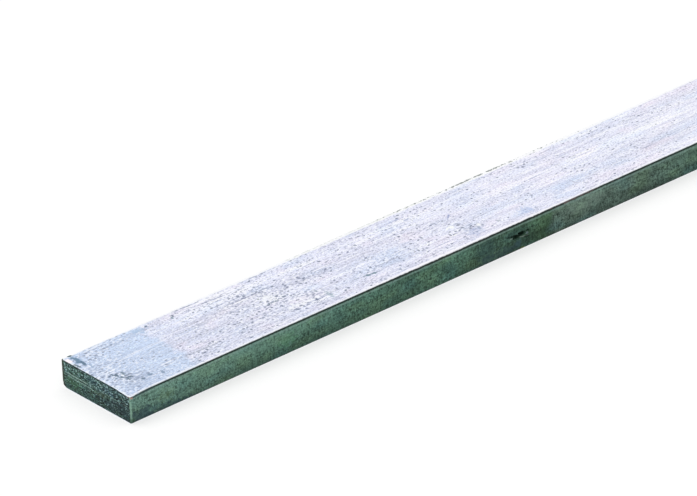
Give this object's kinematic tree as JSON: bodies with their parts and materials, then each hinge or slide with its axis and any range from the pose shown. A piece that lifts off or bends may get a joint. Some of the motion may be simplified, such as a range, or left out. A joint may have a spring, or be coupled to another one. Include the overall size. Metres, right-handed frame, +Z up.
{
  "type": "bus bar",
  "caption": "Flat rectangular bar of tin-plated copper with rounded long edges and square saw-cut ends, to clamp conductors to.",
  "frame": {"origin": "middle of the wide face that the bar lies on", "axes": "+X along the bar, +Y across its width, +Z up through its thickness"},
  "size_m": [1, 0.01, 0.003],
  "materials": {
    "tin_plate": "satin"
  },
  "bodies": {
    "root": {"bus_bar": "tin_plate"}
  },
  "joints": []
}
